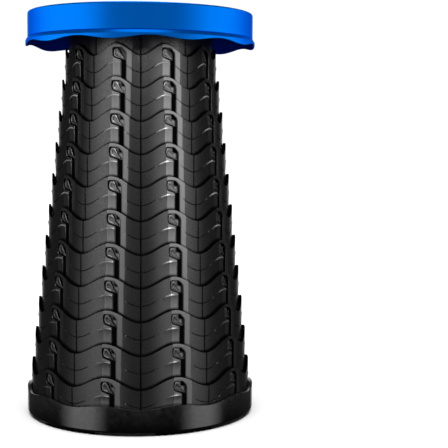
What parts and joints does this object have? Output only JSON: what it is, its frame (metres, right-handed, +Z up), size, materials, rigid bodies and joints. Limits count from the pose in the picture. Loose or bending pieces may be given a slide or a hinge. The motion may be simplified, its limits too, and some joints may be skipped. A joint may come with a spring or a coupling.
{
  "type": "telescoping stool",
  "caption": "Round telescoping camp stool: nested wall sections with hooked slots slide down into the base, and the seat has two finger holes.",
  "frame": {"origin": "on the floor under the middle of the base", "axes": "+Z up, from the base to the seat; -Y is the front"},
  "size_m": [0.2576, 0.2576, 0.45],
  "materials": {
    "section_black": "satin moulded",
    "rim_black": "gloss moulded",
    "seat_blue": "gloss moulded",
    "inner_black": "matte moulded",
    "screw_steel": "zinc plated",
    "foot_rubber": "matte"
  },
  "bodies": {
    "base": {"base_ring": "rim_black", "base_plate": "inner_black", "section_12": "section_black", "base_screw_01": "screw_steel", "base_screw_02": "screw_steel", "base_screw_03": "screw_steel", "base_screw_04": "screw_steel", "base_screw_05": "screw_steel", "foot_01": "foot_rubber", "foot_02": "foot_rubber", "foot_03": "foot_rubber", "foot_04": "foot_rubber", "foot_05": "foot_rubber", "foot_06": "foot_rubber"},
    "section_11": {"section_11": "section_black"},
    "section_10": {"section_10": "section_black"},
    "section_09": {"section_09": "section_black"},
    "section_08": {"section_08": "section_black"},
    "section_07": {"section_07": "section_black"},
    "section_06": {"section_06": "section_black"},
    "section_05": {"section_05": "section_black"},
    "section_04": {"section_04": "section_black"},
    "section_03": {"section_03": "section_black"},
    "section_02": {"section_02": "section_black"},
    "seat": {"seat_cover": "seat_blue", "grip_disc": "seat_blue", "seat_frame": "inner_black", "section_01": "section_black", "seat_screw_01": "screw_steel", "seat_screw_02": "screw_steel", "seat_screw_03": "screw_steel", "seat_screw_04": "screw_steel", "seat_screw_05": "screw_steel"}
  },
  "joints": [
    {"name": "section_11_slide", "type": "slide", "parent": "base", "child": "section_11", "axis": [0, 0, 1], "range_m": [-0.0345, 0]},
    {"name": "section_10_slide", "type": "slide", "parent": "section_11", "child": "section_10", "axis": [0, 0, 1], "range_m": [-0.0345, 0]},
    {"name": "section_09_slide", "type": "slide", "parent": "section_10", "child": "section_09", "axis": [0, 0, 1], "range_m": [-0.0345, 0]},
    {"name": "section_08_slide", "type": "slide", "parent": "section_09", "child": "section_08", "axis": [0, 0, 1], "range_m": [-0.0345, 0]},
    {"name": "section_07_slide", "type": "slide", "parent": "section_08", "child": "section_07", "axis": [0, 0, 1], "range_m": [-0.0345, 0]},
    {"name": "section_06_slide", "type": "slide", "parent": "section_07", "child": "section_06", "axis": [0, 0, 1], "range_m": [-0.0345, 0]},
    {"name": "section_05_slide", "type": "slide", "parent": "section_06", "child": "section_05", "axis": [0, 0, 1], "range_m": [-0.0345, 0]},
    {"name": "section_04_slide", "type": "slide", "parent": "section_05", "child": "section_04", "axis": [0, 0, 1], "range_m": [-0.0345, 0]},
    {"name": "section_03_slide", "type": "slide", "parent": "section_04", "child": "section_03", "axis": [0, 0, 1], "range_m": [-0.0345, 0]},
    {"name": "section_02_slide", "type": "slide", "parent": "section_03", "child": "section_02", "axis": [0, 0, 1], "range_m": [-0.0345, 0]},
    {"name": "seat_slide", "type": "slide", "parent": "section_02", "child": "seat", "axis": [0, 0, 1], "range_m": [-0.0345, 0]}
  ]
}
